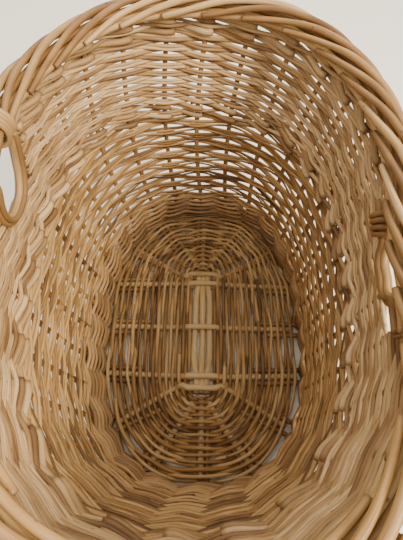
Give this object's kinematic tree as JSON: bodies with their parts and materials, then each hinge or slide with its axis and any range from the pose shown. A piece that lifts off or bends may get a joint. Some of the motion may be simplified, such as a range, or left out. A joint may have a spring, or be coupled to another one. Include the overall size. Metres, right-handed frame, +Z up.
{
  "type": "wicker log basket",
  "caption": "Oval hand-woven willow log basket with flared sides, a rolled border and two hand-holes under it.",
  "frame": {"origin": "middle of the overall box, on the floor", "axes": "+Z up, +Y along the longer side of the oval, hand-holes at -X and +X"},
  "size_m": [0.363, 0.52, 0.3531],
  "materials": {
    "willow_sticks": "satin peeled willow",
    "willow_base": "satin peeled willow, a little darker",
    "willow_dark": "satin brown willow",
    "willow_siding": "satin peeled willow",
    "willow_border": "satin peeled willow, pale",
    "willow_bark": "satin willow with its bark on",
    "willow_stakes": "satin peeled willow"
  },
  "bodies": {
    "root": {"base_stick_long_1": "willow_sticks", "base_stick_long_2": "willow_sticks", "base_stick_long_3": "willow_sticks", "base_stick_short_1": "willow_sticks", "base_stick_short_2": "willow_sticks", "base_stick_short_3": "willow_sticks", "base_stick_short_4": "willow_sticks", "base_stick_short_5": "willow_sticks", "base_weave": "willow_base", "foot_wale": "willow_dark", "upsett_wale_outer": "willow_dark", "upsett_wale_inner": "willow_dark", "lower_siding_1": "willow_siding", "lower_siding_2": "willow_siding", "lower_siding_3": "willow_siding", "lower_siding_4": "willow_siding", "middle_band": "willow_siding", "upper_siding_1": "willow_siding", "upper_siding_2": "willow_siding", "top_band": "willow_siding", "border_strand_1": "willow_border", "border_strand_2": "willow_border", "border_strand_3": "willow_border", "handle_bow_left": "willow_border", "handle_bow_right": "willow_border", "handle_wrap_left": "willow_border", "handle_wrap_right": "willow_bark", "stake_01": "willow_stakes", "stake_02": "willow_stakes", "stake_03": "willow_stakes", "stake_04": "willow_stakes", "stake_05": "willow_stakes", "stake_06": "willow_stakes", "stake_07": "willow_stakes", "stake_08": "willow_stakes", "stake_09": "willow_stakes", "stake_10": "willow_stakes", "stake_11": "willow_stakes", "stake_12": "willow_stakes", "stake_13": "willow_stakes", "stake_14": "willow_stakes", "stake_15": "willow_stakes", "stake_16": "willow_stakes", "stake_17": "willow_stakes", "stake_18": "willow_stakes", "stake_19": "willow_stakes", "stake_20": "willow_stakes", "stake_21": "willow_stakes", "stake_22": "willow_stakes", "stake_23": "willow_stakes", "stake_24": "willow_stakes", "stake_25": "willow_stakes", "stake_26": "willow_stakes", "stake_27": "willow_stakes", "stake_28": "willow_stakes", "stake_29": "willow_stakes", "stake_30": "willow_stakes"}
  },
  "joints": []
}
